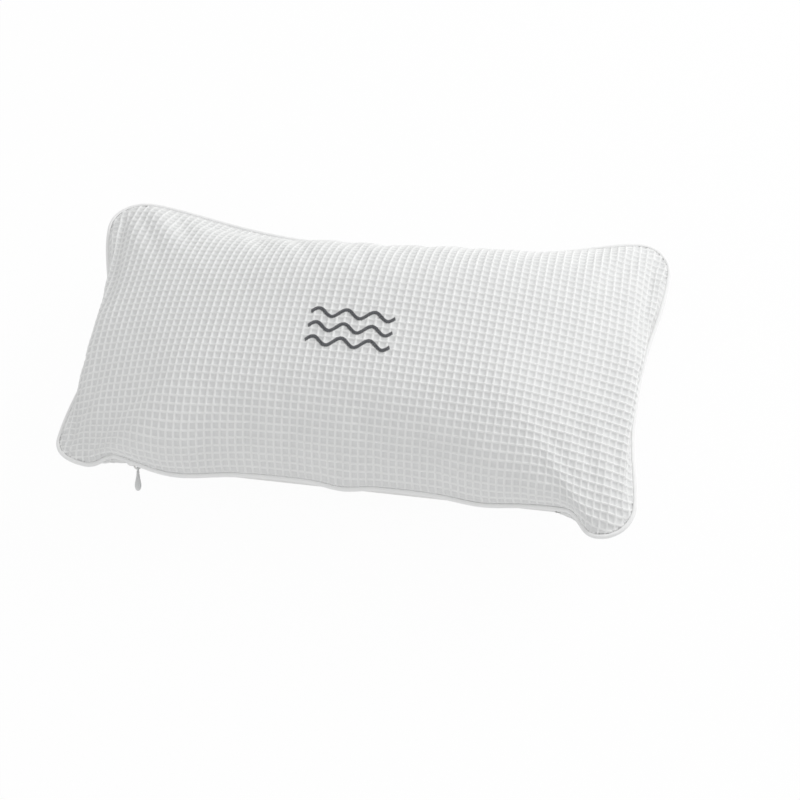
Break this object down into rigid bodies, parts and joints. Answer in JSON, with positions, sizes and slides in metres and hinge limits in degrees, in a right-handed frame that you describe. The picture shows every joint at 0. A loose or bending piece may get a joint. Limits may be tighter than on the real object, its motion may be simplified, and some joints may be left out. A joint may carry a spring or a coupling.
{
  "type": "bath pillow",
  "caption": "Zipped waffle-weave bath pillow with a piped seam, an embroidered wave motif, and suction cups on eyelets at the back.",
  "frame": {"origin": "below the middle of the cover, on the plane of the suction cups' rims", "axes": "+X along the length, +Y from the zipped edge to the far edge, +Z out of the front face; the zipped edge is at -Y"},
  "size_m": [0.3494, 0.2, 0.0927],
  "materials": {
    "waffle": "white polyester waffle weave",
    "piping": "white plain-weave bias strip",
    "cord": "soft twisted filler cord",
    "liner": "thin white nonwoven bag",
    "filling": "loose polyester fibre",
    "tape": "white woven zip tape",
    "nylon": "white nylon coil",
    "enamel": "white enamelled zinc",
    "eyelet": "white moulded plastic",
    "cup": "clear soft vinyl",
    "thread": "dark grey satin stitch"
  },
  "bodies": {
    "pillow": {"front_panel": "waffle", "back_panel": "waffle", "piping_tape": "piping", "piping_cord": "cord", "liner_front": "liner", "liner_back": "liner", "filling": "filling", "zip_tape_front": "tape", "zip_tape_back": "tape", "zip_coil_front": "nylon", "zip_coil_back": "nylon", "zip_top_stop_front": "enamel", "zip_top_stop_back": "enamel", "zip_bottom_stop": "enamel", "eyelet_1": "eyelet", "eyelet_washer_1": "eyelet", "suction_cup_1": "cup", "eyelet_2": "eyelet", "eyelet_washer_2": "eyelet", "suction_cup_2": "cup", "eyelet_3": "eyelet", "eyelet_washer_3": "eyelet", "suction_cup_3": "cup", "eyelet_4": "eyelet", "eyelet_washer_4": "eyelet", "suction_cup_4": "cup", "embroidered_wave_1": "thread", "embroidered_wave_2": "thread", "embroidered_wave_3": "thread"},
    "slider": {"zip_slider": "enamel"},
    "puller": {"zip_puller": "enamel"}
  },
  "joints": [
    {"name": "zip_slide", "type": "slide", "parent": "pillow", "child": "slider", "axis": [1, 0, 0], "range_m": [0, 0.24], "deforming": ["zip_coil_front", "zip_coil_back"]},
    {"name": "puller_swing", "type": "hinge", "parent": "slider", "child": "puller", "pos_m": [-0.1225, -0.08405, 0.03755], "axis": [0, 0, 1], "range_deg": [-75, 45]}
  ]
}
